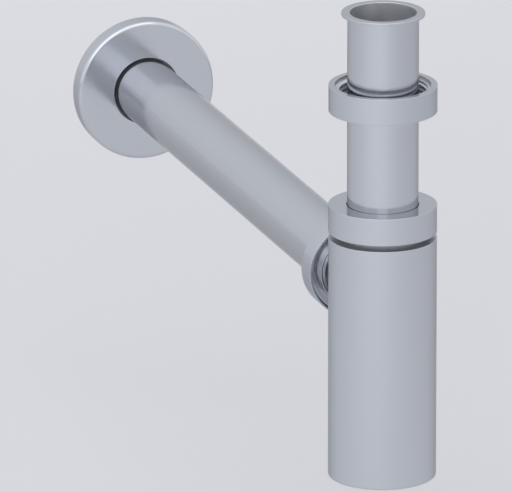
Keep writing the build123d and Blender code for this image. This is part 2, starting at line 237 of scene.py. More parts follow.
class FinishColours(bpy.types.PropertyGroup):
    """Colours of the finishes."""

    chrome: colour("Chrome", "Polished chrome plate", "#C9CCD1")
    # Painted light: this plate is lighter than the chrome, so the bores and the insides of the tube and nuts
    # read brighter than their shade.
    dull_plate: colour("Dull plate", "Plate on the unpolished bores and threads", "#DEDFE2")
    # Painted shade: the neck's plate is darker, standing in for the shade in the groove under the clamp nut.
    thin_plate: colour("Thin plate", "Thin grey plate on the body's neck", "#A0A1A4")
    # Painted shade: the outlet nut's inside is darker, standing in for the shade in its mouth.
    dark_plate: colour("Dark plate", "Dark plate inside the outlet nut", "#75767A")
    rubber: colour("Rubber", "Grey sealing rubber", "#646468")
    rubber_bloom: colour("Rubber bloom", "Dusty bloom on the rubber", "#78787C")
    acetal: colour("Acetal", "Natural acetal of the slip rings", "#E6E4DC")
    floor: colour("Floor", "Pale studio floor", "#BEBEC0")
    sky: colour("Sky", "Even light all round", "#F7F9FF")


class StudioSettings(bpy.types.PropertyGroup):
    """Camera, lamps and floor."""

    azimuth: angle("Azimuth", "Turn of the camera round the trap", -19.058)
    elevation: angle("Elevation", "Height of the camera above the horizon", 17.504)
    distance: length("Distance", "From the camera to the middle of the view", 6024.0)
    view_side: offset("View side", "Middle of the view along the camera's right", -56.63)
    view_height: offset("View height", "Middle of the view above the collar", -109.2)
    lens: FloatProperty(name="Lens", description="Focal length in millimetres", default=946.8)
    sensor: FloatProperty(name="Sensor", description="Width of the sensor in millimetres", default=36.0)
    floor_height: offset("Floor height", "Height of the floor under the hanging trap", -320.0)
    floor_size: length("Floor size", "Width of the floor", 9000.0)
    sky_low: FloatProperty(name="Sky low", description="Even light where it is weakest", default=0.78)
    sky_high: FloatProperty(name="Sky high", description="Even light where it is strongest", default=1.12)
    sky_rise: angle("Sky rise", "Height of the sky's brightest place above the front", 48.0)
    side_place: lamp_place("the lamp on the left", -950, 1150, 1450)
    side_size: length("Side lamp size", "Width of the lamp on the left", 1600.0)
    side_power: lamp_power("the lamp on the left", 5.0)
    top_place: lamp_place("the lamp overhead", 250, 450, 1650)
    top_size: length("Top lamp size", "Width of the lamp overhead", 1700.0)
    top_power: lamp_power("the lamp overhead", 5.5)
    front_place: lamp_place("the lamp in front", 0, 2200, 800)
    front_size: length("Front lamp size", "Width of the lamp in front", 1300.0)
    front_power: lamp_power("the lamp in front", 1.8)
    pool_place: lamp_place("the lamp for the floor in front", -300, 1100, 1050)
    pool_size: length("Pool lamp size", "Width of the lamp for the floor in front", 1500.0)
    pool_power: lamp_power("the lamp for the floor in front", 16.5)
    far_place: lamp_place("the lamp for the far floor", -600, -3000, 1300)
    far_size: length("Far lamp size", "Width of the lamp for the far floor", 1600.0)
    far_power: lamp_power("the lamp for the far floor", 40.0)


def settings(name):
    """Give one group of this object's settings."""
    return getattr(bpy.context.scene, "bottle_trap_" + name)


def tube_radius():
    """Give the inlet tube's outside radius, under its collar."""
    return far_corner("inlet_tube").x - settings("tube").collar_width


def deselect():
    """Go to object mode with nothing selected."""
    if bpy.context.object and bpy.context.object.mode != "OBJECT":
        bpy.ops.object.mode_set(mode="OBJECT")
    bpy.ops.object.select_all(action="DESELECT")


def choose(piece):
    """Make this the one selected piece."""
    deselect()
    piece.select_set(True)
    bpy.context.view_layer.objects.active = piece


def fix_place(piece):
    """Put a piece's place, turn and scale into its mesh."""
    choose(piece)
    bpy.ops.object.transform_apply(location=True, rotation=True, scale=True)


def pick(piece, kind, test):
    """Go to edit mode with nothing selected but the vertices or edges that pass a test."""
    bpy.ops.object.mode_set(mode="EDIT")
    bpy.ops.mesh.select_mode(type=kind)
    bpy.ops.mesh.select_all(action="DESELECT")
    bpy.ops.object.mode_set(mode="OBJECT")
    for element in piece.data.vertices if kind == "VERT" else piece.data.edges:
        element.select = test(element)
    bpy.ops.object.mode_set(mode="EDIT")


def pick_ring(piece, radius, place):
    """Select the ring of edges with this radius and place on the axis."""
    def on_ring(edge):
        ends = [piece.data.vertices[i].co for i in edge.vertices]
        gaps = [(abs(math.hypot(end.x, end.y) - radius), abs(end.z - place)) for end in ends]
        return max(gaps[0] + gaps[1]) < NEAR

    pick(piece, "EDGE", on_ring)


def apply_modifier(piece, kind, **options):
    """Give the chosen piece a modifier with its settings, and apply it."""
    bpy.ops.object.modifier_add(type=kind)
    modifier = piece.modifiers[-1]
    for option, value in options.items():
        setattr(modifier, option, value)
    bpy.ops.object.modifier_apply(modifier=modifier.name)


def turned(name, outline, rounded=(), capped=False):
    """Turn a piece round the Z axis, as on a lathe, from the (radius, place) corners of its section.

    The section closes on itself, or its two ends are capped where the piece is solid on its axis.
    Each of the rounded edges is (radius, place, rounding, steps).
    """
    deselect()
    radius, place = outline[0]
    bpy.ops.mesh.primitive_circle_add(
        vertices=TURNED_SIDES, radius=radius, location=(0, 0, place),
        fill_type="NGON" if capped else "NOTHING",
    )
    piece = bpy.context.object
    piece.name = name
    piece.data.name = name
    fix_place(piece)
    bpy.ops.object.mode_set(mode="EDIT")
    bpy.ops.mesh.select_mode(type="EDGE")
    bpy.ops.mesh.select_all(action="SELECT")
    corners = list(outline) if capped else [*outline, outline[0]]
    for (last_radius, last_place), (radius, place) in zip(corners, corners[1:]):
        bpy.ops.mesh.extrude_edges_move(TRANSFORM_OT_translate={"value": (0, 0, place - last_place)})
        share = radius / last_radius
        if share != 1:
            bpy.ops.transform.resize(value=(share, share, 1), center_override=(0, 0, place))
    if capped:
        bpy.ops.mesh.edge_face_add()
    else:
        bpy.ops.mesh.select_all(action="SELECT")
        bpy.ops.mesh.remove_doubles(threshold=NEAR)
    for radius, place, rounding, steps in rounded:
        pick_ring(piece, radius, place)
        bpy.ops.mesh.bevel(offset=rounding, segments=steps, affect="EDGES", clamp_overlap=False)
    bpy.ops.mesh.select_all(action="SELECT")
    bpy.ops.mesh.normals_make_consistent(inside=False)
    bpy.ops.object.mode_set(mode="OBJECT")
    return piece


def ridge(wall, crest, start, end, through, pitch):
    """Wind one screw ridge from start to end, from its wall radius out or in to its crest radius.

    through is a level that the ridge crosses on the X axis, so that mating ridges can be set to mesh.
    """
    threads = settings("thread")
    foot = wall + threads.sink if crest < wall else wall - threads.sink
    rise = abs(crest - foot)
    foot_width = threads.crest + 2 * rise * math.tan(threads.flank)
    turns = (end - start) / pitch
    steps = round(threads.steps * turns)
    deselect()
    bpy.ops.mesh.primitive_plane_add(size=1, rotation=(math.pi / 2, 0, 0))
    piece = bpy.context.object
    piece.scale = (rise, foot_width, 1)
    piece.location = ((foot + crest) / 2, 0, start)
    fix_place(piece)
    # The section is narrowed at its crest, so that both flanks get their slope.
    pick(piece, "VERT", lambda vertex: abs(vertex.co.x - crest) < NEAR)
    bpy.ops.transform.resize(value=(1, 1, threads.crest / foot_width), center_override=(crest, 0, start))
    bpy.ops.object.mode_set(mode="OBJECT")
    piece.rotation_euler = (0, 0, FULL_TURN * (start - through) / pitch)
    fix_place(piece)
    apply_modifier(
        piece, "SCREW", angle=FULL_TURN * turns, screw_offset=end - start, steps=steps, render_steps=steps
    )
    run_out(piece, steps + 1, crest, foot)
    # The ridge is a tube with two open ends, which are closed here.
    bpy.ops.object.mode_set(mode="EDIT")
    bpy.ops.mesh.select_mode(type="EDGE")
    bpy.ops.mesh.select_all(action="DESELECT")
    bpy.ops.mesh.select_non_manifold()
    bpy.ops.mesh.fill_holes(sides=4)
    bpy.ops.mesh.select_all(action="SELECT")
    bpy.ops.mesh.normals_make_consistent(inside=False)
    bpy.ops.object.mode_set(mode="OBJECT")
    return piece


def run_out(piece, sections, crest, foot):
    """Let a ridge run out at both ends, by drawing its crest back to its foot over some steps."""
    threads = settings("thread")
    corners = len(piece.data.vertices) // sections
    low = foot + threads.last_rise * (crest - foot)
    for section in [*range(threads.run_out), *range(sections - threads.run_out, sections)]:
        from_end = min(section, sections - 1 - section)
        share = (low + (crest - low) * from_end / threads.run_out) / crest
        pick(
            piece, "VERT", lambda vertex: vertex.index // corners == section
            and abs(math.hypot(vertex.co.x, vertex.co.y) - crest) < NEAR,
        )
        bpy.ops.transform.resize(value=(share, share, 1), center_override=(0, 0, 0))
        bpy.ops.object.mode_set(mode="OBJECT")


def combine(piece, other, operation):
    """Join another closed shape to a piece, or cut it out, and remove the other shape."""
    choose(piece)
    apply_modifier(piece, "BOOLEAN", operation=operation, solver="EXACT", object=other)
    choose(other)
    bpy.ops.object.delete()


def lay_along_outlet(piece):
    """Turn a piece made along Z on to the outlet's axis, which points along Y at the outlet's height."""
    piece.rotation_euler = (-math.pi / 2, 0, 0)
    piece.location = (0, 0, outlet_height)
    fix_place(piece)


def upright_cylinder(radius, low, high):
    """Make a plain cutter round the Z axis."""
    deselect()
    bpy.ops.mesh.primitive_cylinder_add(
        vertices=TURNED_SIDES, radius=radius, depth=high - low, location=(0, 0, (low + high) / 2)
    )
    cutter = bpy.context.object
    fix_place(cutter)
    return cutter


def finish_metal(piece, node, body, along, inner):
    """Shade and plate a finished metal piece, and set it in place of its packed node on its body.

    inner lists the plates of the faces that aren't polished, each with a test of a face's radius round the
    piece's axis and its place along it. The first test that holds counts.
    """
    choose(piece)
    bpy.ops.object.shade_smooth_by_angle(angle=SMOOTH_ANGLE)
    apply_modifier(piece, "WEIGHTED_NORMAL", keep_sharp=True)
    piece.data.materials.clear()
    piece.data.materials.append(finished("chrome_plate_on_polished_brass", polished_chrome))
    # The plates' colours carry painted light in the bores and painted shade in the neck's groove and the
    # outlet nut.
    for plate, _ in inner:
        name = plate + "_on_turned_brass_" + along.lower()
        piece.data.materials.append(finished(name, turned_plate, plate, along))
    for face in piece.data.polygons:
        middle = face.center
        if along == "Z":
            spot = (math.hypot(middle.x, middle.y), middle.z)
        else:
            spot = (math.hypot(middle.x, middle.z - outlet_height), middle.y)
        held = [number for number, (_, test) in enumerate(inner, start=1) if test(*spot)]
        face.material_index = held[0] if held else 0
    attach(piece, body)
    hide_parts(node)


def add_node(tree, kind, place, inputs=None, **options):
    """Add one node with its settings. An input is a value, or the socket that it is linked from."""
    node = tree.nodes.new(kind)
    node.location = place
    for option, value in options.items():
        setattr(node, option, value)
    for name, value in (inputs or {}).items():
        if isinstance(value, bpy.types.NodeSocket):
            tree.links.new(value, node.inputs[name])
        else:
            node.inputs[name].default_value = value
    return node


def finished(name, surface, *options):
    """Give the material of this name. Where it isn't made yet, its surface's function makes the nodes."""
    if name not in bpy.data.materials:
        material = bpy.data.materials.new(name)
        material.use_nodes = True
        tree = material.node_tree
        tree.nodes.clear()
        shader = surface(tree, *options)
        add_node(tree, "ShaderNodeOutputMaterial", (150, 0), {"Surface": shader.outputs["BSDF"]})
    return bpy.data.materials[name]


def polished_chrome(tree):
    """Chrome plate on polished brass: clear, slightly soft reflections that darken towards its rims."""
    place = add_node(tree, "ShaderNodeTexCoord", (-900, 0)).outputs["Object"]
    buffed_patch = 14 * MM
    orange_peel = 0.9 * MM
    buffing = add_node(
        tree, "ShaderNodeTexNoise", (-700, 150), {"Vector": place, "Scale": 1 / buffed_patch, "Detail": 3.0}
    )
    roughness = add_node(
        tree, "ShaderNodeMapRange", (-450, 150),
        {"Value": buffing.outputs["Fac"], "From Min": 0.3, "From Max": 0.7, "To Min": 0.13, "To Max": 0.18},
    )
    peel = add_node(
        tree, "ShaderNodeTexNoise", (-700, -200), {"Vector": place, "Scale": 1 / orange_peel, "Detail": 2.0}
    )
    bump = add_node(
        tree, "ShaderNodeBump", (-450, -200),
        {"Height": peel.outputs["Fac"], "Strength": 0.05, "Distance": 0.01 * MM},
    )
    return add_node(
        tree, "ShaderNodeBsdfPrincipled", (-150, 0),
        {"Base Color": (*settings("finish").chrome, 1), "Metallic": 1.0,
         "Specular Tint": (0.62, 0.62, 0.62, 1),
         "Roughness": roughness.outputs["Result"], "Normal": bump.outputs["Normal"]},
    )


def turned_plate(tree, plate, along):
    """The same plate where the brass was left as turned or drawn: soft, with fine lines round the axis.

    Its colour is given per use and carries painted light and shade: lighter than the chrome in the bores,
    darker in the neck's groove and inside the outlet nut.
    """
    place = add_node(tree, "ShaderNodeTexCoord", (-900, 0)).outputs["Object"]
    tool_feed = 0.35 * MM
    band_at_scale_one = math.pi / 10
    stain_patch = 8 * MM
    lines = add_node(
        tree, "ShaderNodeTexWave", (-700, -200),
        {"Vector": place, "Scale": band_at_scale_one / tool_feed, "Distortion": 0.4, "Detail": 1.0},
        wave_type="BANDS", bands_direction=along,
    )
    stain = add_node(
        tree, "ShaderNodeTexNoise", (-700, 150), {"Vector": place, "Scale": 1 / stain_patch, "Detail": 3.0}
    )
    roughness = add_node(
        tree, "ShaderNodeMapRange", (-450, 150),
        {"Value": stain.outputs["Fac"], "From Min": 0.3, "From Max": 0.7, "To Min": 0.38, "To Max": 0.48},
    )
    bump = add_node(
        tree, "ShaderNodeBump", (-450, -200),
        {"Height": lines.outputs["Fac"], "Strength": 0.25, "Distance": 0.01 * MM},
    )
    return add_node(
        tree, "ShaderNodeBsdfPrincipled", (-150, 0),
        {"Base Color": (*getattr(settings("finish"), plate), 1), "Metallic": 1.0,
         "Specular Tint": (0.5, 0.5, 0.5, 1),
         "Roughness": roughness.outputs["Result"], "Normal": bump.outputs["Normal"]},
    )


def sealing_rubber(tree):
    """Moulded EPDM rubber: grey and dull, with a faint mould grain and a dusty bloom."""
    place = add_node(tree, "ShaderNodeTexCoord", (-900, 0)).outputs["Object"]
    bloom_patch = 5 * MM
    mould_grain = 0.4 * MM
    dust = add_node(
        tree, "ShaderNodeTexNoise", (-700, 150), {"Vector": place, "Scale": 1 / bloom_patch, "Detail": 3.0}
    )
    bloom = add_node(
        tree, "ShaderNodeMixRGB", (-450, 150),
        {"Fac": dust.outputs["Fac"],
         "Color1": (*settings("finish").rubber, 1), "Color2": (*settings("finish").rubber_bloom, 1)},
    )
    grain = add_node(
        tree, "ShaderNodeTexNoise", (-700, -200), {"Vector": place, "Scale": 1 / mould_grain, "Detail": 2.0}
    )
    bump = add_node(
        tree, "ShaderNodeBump", (-450, -200),
        {"Height": grain.outputs["Fac"], "Strength": 0.3, "Distance": 0.02 * MM},
    )
    return add_node(
        tree, "ShaderNodeBsdfPrincipled", (-150, 0),
        {"Base Color": bloom.outputs["Color"], "Roughness": 0.62, "Normal": bump.outputs["Normal"]},
    )


def natural_acetal(tree):
    """Moulded natural acetal: waxy off-white plastic with a soft sheen."""
    place = add_node(tree, "ShaderNodeTexCoord", (-900, 0)).outputs["Object"]
    flow_patch = 6 * MM
    flow = add_node(
        tree, "ShaderNodeTexNoise", (-700, 100), {"Vector": place, "Scale": 1 / flow_patch, "Detail": 2.0}
    )
    roughness = add_node(
        tree, "ShaderNodeMapRange", (-450, 100),
        {"Value": flow.outputs["Fac"], "From Min": 0.3, "From Max": 0.7, "To Min": 0.34, "To Max": 0.44},
    )
    return add_node(
        tree, "ShaderNodeBsdfPrincipled", (-150, 0),
        {"Base Color": (*settings("finish").acetal, 1), "Roughness": roughness.outputs["Result"],
         "IOR": 1.48, "Subsurface Weight": 0.15, "Subsurface Scale": 1.5 * MM},
    )


def painted_floor(tree):
    """Satin painted floor: an even pale grey with a faint sheen towards the horizon."""
    return add_node(
        tree, "ShaderNodeBsdfPrincipled", (-150, 0),
        {"Base Color": (*settings("finish").floor, 1), "Roughness": 0.5, "Specular IOR Level": 0.3},
    )


class BOTTLE_TRAP_OT_stage(bpy.types.Operator):
    """Set the pale floor, the soft lamps, the even sky and the camera"""

    bl_idname = "bottle_trap.stage"
    bl_label = "Studio"

    def execute(self, context):
        studio = settings("studio")
        deselect()
        bpy.ops.mesh.primitive_plane_add(size=studio.floor_size, location=(0, 0, studio.floor_height))
        floor = bpy.context.object
        floor.name = "studio_floor"
        fix_place(floor)
        floor.data.materials.append(finished("satin_painted_floor", painted_floor))
        right = Vector((math.cos(studio.azimuth), math.sin(studio.azimuth), 0))
        level = math.cos(studio.elevation)
        back = Vector((
            math.sin(studio.azimuth) * level, -math.cos(studio.azimuth) * level, math.sin(studio.elevation)
        ))
        middle = right * studio.view_side + Vector((0, 0, studio.view_height))
        bpy.ops.object.camera_add(location=middle + back * studio.distance)
        camera = bpy.context.object
        camera.name = "photo_camera"
        camera.rotation_euler = (-back).to_track_quat("-Z", "Y").to_euler()
        camera.data.lens = studio.lens
        camera.data.sensor_width = studio.sensor
        context.scene.camera = camera
        over = Vector((0, 0, 1))
        front = (back - over * back.z).normalized()
        for name, hidden_from in (
            ("side", "visible_diffuse"),
            ("top", "visible_diffuse"),
            ("front", "visible_diffuse"),
            ("pool", "visible_glossy"),
            ("far", "visible_glossy"),
        ):
            along_right, along_front, above = getattr(studio, name + "_place")
            away = right * along_right + front * along_front + over * above
            self.lamp(name, middle + away, -over if name == "far" else -away, hidden_from)
        rise = studio.sky_rise
        self.sky(context, over * math.sin(rise) + front * math.cos(rise))
        context.scene.view_settings.view_transform = "Standard"
        return {"FINISHED"}

    def lamp(self, name, place, direction, hidden_from):
        """Hang one large soft lamp that lights in a direction, either the metal or the floor alone."""
        bpy.ops.object.light_add(type="AREA", location=place)
        lamp = bpy.context.object
        lamp.name = name + "_lamp"
        lamp.rotation_euler = direction.to_track_quat("-Z", "Y").to_euler()
        lamp.data.shape = "SQUARE"
        lamp.data.size = getattr(settings("studio"), name + "_size")
        lamp.data.energy = getattr(settings("studio"), name + "_power")
        lamp.visible_camera = False
        setattr(lamp, hidden_from, False)

    def sky(self, context, brightest):
        """Light everything evenly, a little more from above and in front than from behind."""
        studio = settings("studio")
        world = bpy.data.worlds.new("studio_sky")
        context.scene.world = world
        world.use_nodes = True
        tree = world.node_tree
        tree.nodes.clear()
        direction = add_node(tree, "ShaderNodeTexCoord", (-800, 0)).outputs["Generated"]
        towards = add_node(
            tree, "ShaderNodeVectorMath", (-600, 0), {0: direction, 1: brightest}, operation="DOT_PRODUCT"
        )
        strength = add_node(
            tree, "ShaderNodeMapRange", (-400, 0),
            {"Value": towards.outputs["Value"], "From Min": -1.0, "From Max": 1.0,
             "To Min": studio.sky_low, "To Max": studio.sky_high},
        )
        light = add_node(
            tree, "ShaderNodeBackground", (-150, 0),
            {"Color": (*settings("finish").sky, 1), "Strength": strength.outputs["Result"]},
        )
        add_node(tree, "ShaderNodeOutputWorld", (100, 0), {"Surface": light.outputs["Background"]})


class BOTTLE_TRAP_OT_inlet_tube(bpy.types.Operator):
    """Turn the inlet tube with its rolled collar"""

    bl_idname = "bottle_trap.inlet_tube"
    bl_label = "Inlet Tube"

    def execute(self, context):
        sizes = settings("tube")
        collar = far_corner("inlet_tube").x
        top = far_corner("inlet_tube").z
        foot = near_corner("inlet_tube").z
        outside = tube_radius()
        bore = outside - sizes.wall
        underside = top - sizes.collar_thickness
        piece = turned(
            "inlet_tube_with_collar",
            [
                (bore, foot), (bore, top), (collar, top), (collar, underside),
                (outside, underside), (outside, foot),
            ],
            [
                (bore, top, sizes.collar_edge, 4),
                (collar, top, sizes.collar_edge, 4),
                (collar, underside, sizes.collar_edge, 4),
                (outside, underside, sizes.collar_root, 5),
                (outside, foot, sizes.end_edge, 2),
                (bore, foot, sizes.end_edge / 2, 2),
            ],
        )
        finish_metal(
            piece, "inlet_tube", "inlet_tube", "Z",
            [("dull_plate", lambda radius, place: radius < bore + sizes.end_edge / 2)],
        )
        return {"FINISHED"}


class BOTTLE_TRAP_OT_union_nut(bpy.types.Operator):
    """Turn the union nut, open at the top, and cut its thread"""

    bl_idname = "bottle_trap.union_nut"
    bl_label = "Union Nut"

    def execute(self, context):
        sizes = settings("nut")
        threads = settings("thread")
        outside = far_corner("inlet_union_nut").x
        top = far_corner("inlet_union_nut").z
        bottom = near_corner("inlet_union_nut").z
        hole = tube_radius() + sizes.hole_play
        ledge = top - sizes.union_mouth_depth
        floor = bottom + sizes.union_floor
        crest = sizes.bore - threads.depth - threads.root_play
        piece = turned(
            "union_nut_with_thread",
            [
                (outside, bottom), (outside, top), (sizes.union_mouth, top), (sizes.union_mouth, ledge),
                (crest, ledge), (crest, floor), (hole, floor), (hole, bottom),
            ],
            [
                (outside, bottom, sizes.edge, 3),
                (outside, top, sizes.edge, 3),
                (sizes.union_mouth, top, sizes.edge / 2, 2),
                (crest, ledge, sizes.union_lead_in, 1),
                (hole, floor, sizes.union_relief, 1),
                (hole, bottom, sizes.edge, 3),
            ],
        )
        tap = ridge(
            crest, sizes.bore, floor + threads.pitch / 2, ledge + threads.pitch / 2, top, threads.pitch
        )
        combine(piece, tap, "DIFFERENCE")
        finish_metal(
            piece, "inlet_union_nut", "union_nut", "Z",
            [("dull_plate", lambda radius, place: radius < sizes.union_mouth + NEAR
              and floor - NEAR < place < top - sizes.edge)],
        )
        return {"FINISHED"}


class BOTTLE_TRAP_OT_clamp_nut(bpy.types.Operator):
    """Turn the clamp nut, open at the bottom, and cut its thread"""

    bl_idname = "bottle_trap.clamp_nut"
    bl_label = "Clamp Nut"

    def execute(self, context):
        sizes = settings("nut")
        threads = settings("thread")
        outside = far_corner("inlet_clamp_nut").x
        top = far_corner("inlet_clamp_nut").z
        bottom = near_corner("inlet_clamp_nut").z
        ring_bottom = near_corner("inlet_slip_ring").z
        hole = tube_radius() + sizes.hole_play
        roof = top - sizes.clamp_roof
        piece = turned(
            "clamp_nut_with_thread",
            [
                (outside, bottom), (outside, top), (hole, top), (hole, roof),
                (sizes.bore, roof), (sizes.bore, bottom),
            ],
            [
                (outside, bottom, sizes.edge, 3),
                (outside, top, sizes.edge, 3),
                (hole, top, sizes.edge / 2, 2),
                (sizes.bore, bottom, sizes.edge, 2),
            ],
        )
        thread = ridge(
            sizes.bore, sizes.bore - threads.depth,
            bottom + threads.pitch / 2, ring_bottom - threads.pitch / 2,
            neck_level() + threads.pitch / 2, threads.pitch,
        )
        combine(piece, thread, "UNION")
        finish_metal(
            piece, "inlet_clamp_nut", "clamp_nut", "Z",
            [("dull_plate", lambda radius, place: radius < sizes.bore + NEAR and place < roof + NEAR)],
        )
        return {"FINISHED"}


def neck_level():
    """Give a level that the neck's thread ridge crosses on the X axis."""
    return near_corner("inlet_clamp_nut").z


class BOTTLE_TRAP_OT_trap_body(bpy.types.Operator):
    """Turn the trap body with its threaded neck and open base, and drill its side for the outlet"""

    bl_idname = "bottle_trap.trap_body"
    bl_label = "Trap Body"

    def execute(self, context):
        sizes = settings("body")
        threads = settings("thread")
        outside = far_corner("trap_body").x
        neck_top = far_corner("trap_body").z
        base = near_corner("trap_body").z
        tube = tube_radius()
        shoulder = base + sizes.height
        inside = outside - sizes.wall
        neck_bore = tube + sizes.bore_play
        seat_ledge = near_corner("inlet_cone_seal").z
        ceiling = shoulder - sizes.shoulder
        plug_top = far_corner("cleaning_plug").z
        plug_seat = far_corner("plug_o_ring").z
        seat_radius = outside - sizes.base_ring
        base_bore = seat_radius - sizes.base_seat
        hole = settings("outlet").neck
        hole_top = outlet_height + hole + sizes.band
        hole_bottom = outlet_height - hole - sizes.band
        piece = turned(
            "trap_body_with_neck",
            [
                (neck_bore, ceiling), (neck_bore, seat_ledge), (tube + sizes.seat_foot, seat_ledge),
                (tube + sizes.seat_top, neck_top), (sizes.relief, neck_top), (sizes.relief, shoulder),
                (outside, shoulder), (outside, hole_top), (outside, hole_bottom),
                (outside, base), (seat_radius, base), (seat_radius, plug_seat), (base_bore, plug_seat),
                (base_bore, plug_top), (inside, plug_top + inside - base_bore),
                (inside, hole_bottom), (inside, hole_top), (inside, ceiling),
            ],
            [
                (outside, shoulder, sizes.top_edge, 3),
                (sizes.relief, neck_top, sizes.top_edge / 2, 2),
                (outside, base, sizes.base_edge, 5),
                (seat_radius, base, sizes.top_edge / 2, 2),
                (base_bore, plug_top, sizes.top_edge / 2, 1),
            ],
        )
        thread = ridge(
            sizes.relief, settings("nut").bore - threads.root_play,
            shoulder + sizes.relief_height + threads.pitch / 2, neck_top - threads.pitch / 2,
            neck_level(), threads.pitch,
        )
        combine(piece, thread, "UNION")
        # The drill starts on the body's axis, so it opens the outlet's side alone.
        drill = upright_cylinder(hole, 0, 2 * outside)
        lay_along_outlet(drill)
        combine(piece, drill, "DIFFERENCE")
        finish_metal(
            piece, "trap_body", "trap_body", "Z",
            [
                # The neck takes the darker plate as painted shade in the groove under the clamp nut.
                ("thin_plate", lambda radius, place: place > shoulder + NEAR),
                ("dull_plate", lambda radius, place: radius < inside + NEAR
                 and place > base + sizes.top_edge),
            ],
        )
        return {"FINISHED"}


class BOTTLE_TRAP_OT_outlet_spigot(bpy.types.Operator):
    """Turn the outlet spigot, cut its thread and fit it to the body's round side"""

    bl_idname = "bottle_trap.outlet_spigot"
    bl_label = "Outlet Spigot"

    def execute(self, context):
        sizes = settings("outlet")
        threads = settings("thread")
        body = settings("body")
        end = far_corner("outlet_spigot").y
        crest = far_corner("outlet_spigot").x
        core = crest - threads.depth - threads.root_play
        inside_body = sizes.saddle_start
        body_outside = far_corner("trap_body").x
        rim_end = sizes.head_start + sizes.head_rim
        neck = turned(
            "outlet_spigot_with_thread",
            [
                (sizes.stop_radius, inside_body), (sizes.stop_radius, sizes.stop),
                (sizes.socket, sizes.stop), (sizes.socket, sizes.ledge),
                (sizes.seat_foot, sizes.ledge), (sizes.seat_top, end),
                (core, end), (core, rim_end), (crest, rim_end), (crest, sizes.head_start),
                (sizes.collar, sizes.head_start), (sizes.collar, sizes.neck_end),
                (sizes.neck, sizes.neck_end), (sizes.neck, inside_body),
            ],
            [
                (sizes.collar, sizes.neck_end, sizes.edge, 3),
                (crest, sizes.head_start, sizes.edge / 2, 2),
                (crest, rim_end, sizes.edge / 2, 2),
            ],
        )
        thread = ridge(
            core, crest, rim_end - threads.pitch / 4, end - threads.pitch / 2,
            sizes.head_start, threads.pitch,
        )
        combine(neck, thread, "UNION")
        lay_along_outlet(neck)
        # The body's round inside and outside trim the neck and its collar to their saddles.
        low = near_corner("trap_body").z
        combine(neck, upright_cylinder(body_outside - body.wall, low, 0), "DIFFERENCE")
        saddle_bore = sizes.neck - sizes.saddle_overlap
        saddle = turned(
            "saddle",
            [
                (saddle_bore, inside_body), (saddle_bore, sizes.saddle_end),
                (sizes.collar, sizes.saddle_end), (sizes.collar, inside_body),
            ],
            [(sizes.collar, sizes.saddle_end, sizes.edge, 3)],
        )
        lay_along_outlet(saddle)
        combine(saddle, upright_cylinder(body_outside, low, 0), "DIFFERENCE")
        combine(neck, saddle, "UNION")
        finish_metal(
            neck, "outlet_spigot", "trap_body", "Y",
            [("dull_plate", lambda radius, place: place > rim_end or radius < sizes.seat_foot)],
        )
        return {"FINISHED"}


class BOTTLE_TRAP_OT_outlet_nut(bpy.types.Operator):
    """Turn the outlet nut, open towards the body, and cut its thread"""

    bl_idname = "bottle_trap.outlet_nut"
    bl_label = "Outlet Nut"

    def execute(self, context):
        sizes = settings("outlet")
        threads = settings("thread")
        outside = far_corner("outlet_nut").x
        end = far_corner("outlet_nut").y
        start = near_corner("outlet_nut").y
        ring_start = near_corner("outlet_slip_ring").y
        bore = far_corner("outlet_spigot").x + threads.root_play
        roof = end - sizes.nut_roof
        step = start + sizes.nut_mouth_depth
        lip = sizes.nut_mouth + sizes.nut_flare
        piece = turned(
            "outlet_nut_with_thread",
            [
                (outside, start), (outside, end), (sizes.nut_hole, end), (sizes.nut_hole, roof),
                (bore, roof), (bore, step), (sizes.nut_mouth, step), (lip, start),
            ],
            [
                (outside, start, sizes.edge, 3),
                (outside, end, sizes.edge, 3),
                (sizes.nut_hole, end, sizes.edge / 2, 2),
                (lip, start, sizes.edge / 2, 2),
            ],
        )
        thread = ridge(
            bore, bore - threads.depth, sizes.head_start + sizes.head_rim + threads.pitch / 2,
            ring_start - threads.pitch / 4, sizes.head_start + threads.pitch / 2, threads.pitch,
        )
        combine(piece, thread, "UNION")
        lay_along_outlet(piece)
        finish_metal(
            piece, "outlet_nut", "outlet_nut", "Y",
            # The nut's mouth and thread take the dark plate as painted shade in the recess.
            [("dark_plate", lambda radius, place: radius < lip and start + sizes.edge < place < roof + NEAR
              and abs(place - step) > NEAR)],
        )
        return {"FINISHED"}


class BOTTLE_TRAP_OT_wall_pipe(bpy.types.Operator):
    """Draw the wall pipe"""

    bl_idname = "bottle_trap.wall_pipe"
    bl_label = "Wall Pipe"

    def execute(self, context):
        sizes = settings("pipe")
        outside = far_corner("wall_pipe").x
        end = far_corner("wall_pipe").y
        start = near_corner("wall_pipe").y
        bore = outside - sizes.wall
        piece = turned(
            "wall_pipe_tube",
            [(bore, start), (bore, end), (outside, end), (outside, start)],
            [
                (outside, start, sizes.end_edge, 2),
                (outside, end, sizes.end_edge, 2),
                (bore, start, sizes.end_edge / 2, 2),
                (bore, end, sizes.end_edge / 2, 2),
            ],
        )
        lay_along_outlet(piece)
        finish_metal(
            piece, "wall_pipe", "wall_pipe", "Y",
            [("dull_plate", lambda radius, place: radius < bore + sizes.end_edge / 2)],
        )
        return {"FINISHED"}


